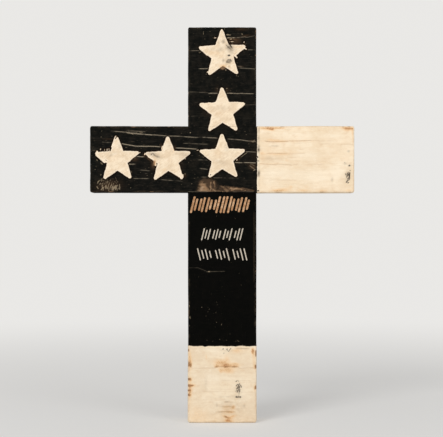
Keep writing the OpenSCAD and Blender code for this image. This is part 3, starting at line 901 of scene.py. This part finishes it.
class BoardNodes(Nodes):
    """A board material's nodes, with the noises and the wear that its layers share."""

    def __init__(self, material, turn):
        super().__init__(material)
        self.row = self.scaled(self.position(), 1 / MM)
        self.board = self.turned(self.row, turn)
        self.fine = self.noise(self.row, 0.9, 4.0, 0.6)
        self.coarse = self.noise(self.row, 0.11, 3.0, 0.55)
        self.fibre = self.noise(self.board, (0.05, 1.1, 1.1), 4.0, 0.6)
        self.saw_lines = self.noise(self.row, (0.09, 0.5, 0.8), 3.0, 0.6)
        self.mottled = self.noise(self.row, (0.14, 0.2, 0.26), 4.0, 0.65)
        self.ragged = self.times(self.minus(self.fine, 0.5), 1.5)
        line = self.span(self.math("ABSOLUTE", self.attribute("line")), LINE_HALF, 0.1)
        line = self.times(line, self.attribute("line_seen"))
        self.line = self.times(line, self.span(self.fine, 0.3, 0.6, 0.6, 1.0))
        self.rubbed = self.times(self.attribute("rubbed"), self.span(self.fine, 0.35, 0.65))

    def inside(self, distance, raggedness, low=0.2, high=-0.2):
        """1 inside a signed distance and 0 outside it, with the edge made ragged by noise."""
        return self.span(self.plus(distance, self.times(self.ragged, raggedness)), low, high)


def rgb(red, green, blue):
    """A colour given in sRGB bytes, as the linear colour that nodes take."""
    def linear(c):
        c /= 255
        return c / 12.92 if c <= 0.04045 else ((c + 0.055) / 1.055) ** 2.4
    return (linear(red), linear(green), linear(blue), 1.0)


def bare_wood(n):
    """Weathered softwood: growth rings about a pith off the board, then fibres and grey patches.

    Returns its colour and where the rings' late wood lies."""
    centre = n.vector("ADD", n.board, TO_PITH)
    wander = n.add("ShaderNodeTexNoise", {
        "Vector": n.vector("MULTIPLY", n.board, (0.006, 0.02, 0.02)), "Scale": 1.0, "Detail": 2.0})
    wander = n.vector("SUBTRACT", wander.outputs["Color"], (0.5, 0.5, 0.5))
    centre = n.vector("ADD", centre, n.scaled(wander, RING_WANDER))
    radius = n.length(n.vector("MULTIPLY", centre, (0.0, 1.0, 1.0)))
    ring = n.math("FRACT", n.math("DIVIDE", radius, RING_WIDTH))
    late = n.minus(n.span(ring, 0.55, 0.97), n.span(ring, 0.97, 1.0), clamp=True)
    wood = n.mix(late, rgb(196, 160, 118), rgb(146, 101, 62))
    wood = n.mix(n.span(n.fibre, 0.35, 0.75, 0.0, 0.55), wood, rgb(121, 92, 66))
    grey = n.mix(n.span(n.coarse, 0.35, 0.7), rgb(150, 122, 96), rgb(112, 96, 80))
    return n.mix(0.45, wood, grey), late


def black_paint(n, star, grain_shows):
    """Black paint, smoother and darker down the leg, with a painted shadow round each star, brown at its
    rim.
    """
    black = n.mix(n.span(n.coarse, 0.4, 0.65), rgb(12, 13, 11), rgb(24, 22, 18))
    ridges = n.times(n.span(n.saw_lines, 0.52, 0.72), 0.55)
    black = n.mix(ridges, black, rgb(42, 39, 33))
    specks = n.span(n.noise(n.row, (0.25, 0.5, 0.6), 2.0, 0.5), 0.66, 0.76)
    black = n.mix(n.times(specks, 0.5), black, rgb(72, 62, 50))
    black = n.mix(n.times(n.attribute("stain"), 0.75), black, rgb(108, 80, 56))
    black = n.mix(n.attribute("rough"), rgb(3, 3, 2), black)
    black = n.mix(n.times(grain_shows, 0.4), black, rgb(74, 64, 50))
    black = n.mix(n.times(n.rubbed, 0.5), black, rgb(96, 82, 64))
    light = n.inside(n.attribute("mark_light"), 0.5, 0.2, -0.35)
    black = n.mix(n.times(light, 0.6), black, rgb(170, 152, 124))
    black = n.mix(n.line, black, rgb(170, 156, 134))
    # Painted shadow: the black goes darker still in a thin ring about each star
    black = n.mix(n.times(n.span(star, 2.4, 1.2), 0.75), black, rgb(7, 5, 3))
    return n.mix(n.times(n.span(star, 1.1, 0.4), 0.35), black, rgb(88, 60, 34))


def cream_paint(n, cream_light, cream_dark, grain_shows):
    """Cream paint, chalky and brushed from side to side."""
    broad = n.noise(n.row, 0.03, 3.0, 0.5)
    brushed = n.noise(n.row, (0.03, 0.3, 0.3), 4.0, 0.6)
    cream = n.mix(n.span(broad, 0.38, 0.62, 0.0, 0.8), cream_light, cream_dark)
    cream = n.mix(n.span(brushed, 0.4, 0.7, 0.0, 0.6), cream, cream_dark)
    cream = n.mix(n.span(n.mottled, 0.5, 0.75, 0.0, 0.5), cream, rgb(226, 196, 160))
    cream = n.mix(n.span(n.mottled, 0.48, 0.3, 0.0, 0.4), cream, rgb(252, 238, 216))
    return n.mix(n.times(grain_shows, 0.36), cream, rgb(204, 170, 132))


def star_paint(n, star):
    """Star paint, with a painted highlight along the inside of its edge."""
    streaks = n.noise(n.turned(n.row, (0.0, 0.6, 0.0)), (0.12, 0.3, 0.5), 4.0, 0.65)
    blotches = n.noise(n.row, 0.13, 3.0, 0.6)
    paint = n.mix(n.span(blotches, 0.36, 0.64), rgb(245, 226, 198), rgb(231, 208, 177))
    paint = n.mix(n.span(streaks, 0.52, 0.75, 0.0, 0.5), paint, rgb(206, 180, 150))
    paint = n.mix(n.span(streaks, 0.48, 0.3, 0.0, 0.5), paint, rgb(250, 237, 216))
    paint = n.mix(n.span(n.fine, 0.55, 0.72, 0.0, 0.5), paint, rgb(206, 176, 142))
    # Painted highlight: a paler rim just inside the star's edge
    return n.mix(n.span(star, -1.8, -0.7, 0.0, 0.7), paint, rgb(247, 230, 206))


def soiled(n, paint, on_star):
    """Pale paint with its stains, paler areas, lines, rubbed arrises, smudges and dark marks."""
    stain = n.times(n.attribute("stain"), n.span(n.fine, 0.25, 0.7, 0.6, 1.15))
    tint = n.mix(n.span(stain, 0.4, 1.1), rgb(238, 200, 154), rgb(178, 120, 72))
    paint = n.mix(n.span(stain, 0.0, 0.7, 0.0, 0.95), paint, tint)
    paint = n.mix(n.span(stain, 0.0, -0.6, 0.0, 0.8), paint, rgb(251, 237, 213))
    on_cream_only = n.minus(0.75, on_star, clamp=True)
    paint = n.mix(n.times(n.line, on_cream_only), paint, rgb(168, 120, 80))
    paint = n.mix(n.times(n.rubbed, 0.55), paint, rgb(206, 152, 102))
    smudge = n.times(n.attribute("smudge"), n.span(n.mottled, 0.3, 0.65, 0.55, 1.2), clamp=True)
    paint = n.mix(smudge, paint, rgb(112, 101, 88))
    dark = n.inside(n.attribute("mark_dark"), 0.7, 0.3, -0.4)
    return n.mix(n.times(dark, 0.95), paint, rgb(54, 48, 42))


def stroked(n, paint):
    """Paint with the rows of strokes: the bold row in tan, the thin rows in off-white."""
    tan = n.mix(n.span(n.mottled, 0.35, 0.6), rgb(214, 176, 138), rgb(178, 134, 96))
    paint = n.mix(n.inside(n.attribute("stroke_bold"), 0.4), paint, tan)
    off_white = n.mix(n.fine, rgb(226, 216, 200), rgb(190, 180, 164))
    return n.mix(n.inside(n.attribute("stroke_thin"), 0.3), paint, off_white)


def worn_down(n, paint, pale, wood):
    """Paint with chips and worn patches down to the wood, and the unpainted back."""
    worn_wood = n.mix(n.span(n.mottled, 0.4, 0.62), rgb(148, 115, 86), rgb(99, 77, 57))
    worn_wood = n.mix(0.6, wood, n.mix(pale, worn_wood, rgb(160, 108, 64)))
    figure = n.attribute("figure")
    worn_wood = n.mix(n.span(figure, 0.0, 1.0, 0.0, 0.85), worn_wood, rgb(52, 40, 32))
    worn_wood = n.mix(n.span(figure, 0.0, -0.8, 0.0, 0.5), worn_wood, rgb(196, 164, 134))
    bare = n.plus(n.attribute("bare"), n.times(n.minus(n.fine, 0.5), 0.7))
    paint = n.mix(n.span(bare, 0.3, 0.85, 0.0, 0.9), paint, worn_wood)
    raw = n.plus(n.attribute("raw"), n.times(n.minus(n.coarse, 0.5), 0.3))
    return n.mix(n.span(raw, 0.8, 0.84), paint, wood)


def surface_height(n, pale, grain_shows):
    """Height for the bump: fibres, pale paint and saw lines, less the thin lines and the grain."""
    height = n.plus(n.times(n.fibre, 0.5), n.times(n.fine, 0.5))
    height = n.plus(height, n.times(pale, 0.5))
    height = n.plus(height, n.times(n.times(n.saw_lines, n.attribute("rough")), 0.9))
    return n.minus(height, n.times(n.most(n.line, grain_shows), 0.8))


def board_material(name, turn, cream_light, cream_dark):
    """Worn black and cream paint on softwood. turn puts the grain along the texture's X."""
    material = bpy.data.materials.new(name)
    n = BoardNodes(material, turn)
    wood, late = bare_wood(n)

    # Off the front, the paint is thin over the grain of the sides and the rings of the ends
    side_grain = n.times(n.attribute("side"), n.span(n.fibre, 0.54, 0.72))
    grain_shows = n.most(side_grain, n.times(n.attribute("end"), late))

    star = n.attribute("paint_star")
    on_star = n.inside(star, 0.8)
    pale = n.most(on_star, n.inside(n.attribute("paint_cream"), 1.3))
    cream = cream_paint(n, cream_light, cream_dark, grain_shows)
    pale_paint = soiled(n, n.mix(on_star, cream, star_paint(n, star)), on_star)
    painted = stroked(n, n.mix(pale, black_paint(n, star, grain_shows), pale_paint))

    height = surface_height(n, pale, grain_shows)
    bump = n.add("ShaderNodeBump", {"Strength": 0.6, "Distance": 0.0006, "Height": height}).outputs[0]
    shader = n.add("ShaderNodeBsdfPrincipled", {
        "Base Color": worn_down(n, painted, pale, wood), "Normal": bump,
        "Roughness": n.span(n.fine, 0.2, 0.8, 0.62, 0.82), "Specular IOR Level": 0.035})
    n.add("ShaderNodeOutputMaterial", {"Surface": shader.outputs[0]})
    return material


# ------ stage, in metres

BACKDROP = (0.82, 0.81, 0.79, 1)
FLOOR_COLOUR = (0.86, 0.85, 0.83, 1)
FLOOR_HALF = 30.0
# The floor starts to fade this far from the middle, and has faded this far out
FADE = (0.1, 1.8)
WORLD_LIGHT = 0.385
LAMP_SIZE = 1.6
LAMPS_AIM = Vector((0, 0, 0.3))
# Camera: lens and sensor, the photo's width where the cross's front stands, and the photo's middle
LENS, SENSOR = 100, 36
VIEW_WIDTH = 0.5971
VIEW_X, VIEW_Z = -0.0009, 0.2758


def shown_ray(n):
    """1 for the rays that show a thing itself, straight on or by way of a mirror or glass."""
    path = n.add("ShaderNodeLightPath").outputs
    return n.most(path["Is Camera Ray"], n.most(path["Is Glossy Ray"], path["Is Transmission Ray"]))


def make_floor():
    """A pale floor that fades into the backdrop's colour away from the object."""
    h = FLOOR_HALF
    mesh = bpy.data.meshes.new("floor")
    mesh.from_pydata([(-h, -h, 0), (h, -h, 0), (h, h, 0), (-h, h, 0)], [], [(0, 1, 2, 3)])
    floor = add_object("floor", mesh)
    material = bpy.data.materials.new("pale_floor")
    n = Nodes(material)
    glow_share = n.times(n.span(n.length(n.position()), *FADE, 0.35, 1.0), shown_ray(n))
    plain = n.add("ShaderNodeBsdfDiffuse", {"Color": FLOOR_COLOUR}).outputs[0]
    glow = n.add("ShaderNodeEmission", {"Color": BACKDROP, "Strength": 1.0}).outputs[0]
    mixed = n.add("ShaderNodeMixShader", {0: glow_share, 1: plain, 2: glow}).outputs[0]
    n.add("ShaderNodeOutputMaterial", {"Surface": mixed})
    mesh.materials.append(material)


def make_world():
    """White light from all round, where the camera sees the backdrop's colour instead."""
    world = bpy.data.worlds.new("studio")
    bpy.context.scene.world = world
    n = Nodes(world)
    light = n.add("ShaderNodeBackground", {"Color": (1, 1, 1, 1), "Strength": WORLD_LIGHT}).outputs[0]
    shown = n.add("ShaderNodeBackground", {"Color": BACKDROP, "Strength": 1.0}).outputs[0]
    mixed = n.add("ShaderNodeMixShader", {0: shown_ray(n), 1: light, 2: shown}).outputs[0]
    n.add("ShaderNodeOutputWorld", {"Surface": mixed})


def make_lamp(name, place, power):
    data = bpy.data.lights.new(name, "AREA")
    data.shape = "DISK"
    data.size = LAMP_SIZE
    data.energy = power
    lamp = add_object(name, data)
    lamp.location = place
    lamp.rotation_euler = (LAMPS_AIM - lamp.location).to_track_quat("-Z", "Y").to_euler()


def make_camera():
    data = bpy.data.cameras.new("camera")
    data.lens, data.sensor_width = LENS, SENSOR
    camera = add_object("camera", data)
    distance = VIEW_WIDTH * data.lens / data.sensor_width
    camera.location = (VIEW_X, -HALF_T * MM - distance, VIEW_Z)
    camera.rotation_euler = (math.radians(90), 0, 0)
    bpy.context.scene.camera = camera


# ------ making

make_camera()

board, depth_in, attributes = make_post()
post = board.build("post_board", depth_in, attributes)
post_wood = board_material("post_wood", UPRIGHT, rgb(244, 226, 198), rgb(232, 210, 180))
post.data.materials.append(post_wood)
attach(post, "root")
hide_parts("post")

board, depth_in, attributes = make_bar()
bar = board.build("crossbar_board", depth_in, attributes)
bar_wood = board_material("crossbar_wood", LEVEL, rgb(247, 228, 200), rgb(237, 214, 182))
bar.data.materials.append(bar_wood)
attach(bar, "root")
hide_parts("crossbar")

make_floor()
make_world()
make_lamp("key", (-1.6, -2.6, 2.0), 57)
make_lamp("fill", (1.9, -2.2, 0.9), 24)
bpy.context.scene.view_settings.view_transform = "Standard"
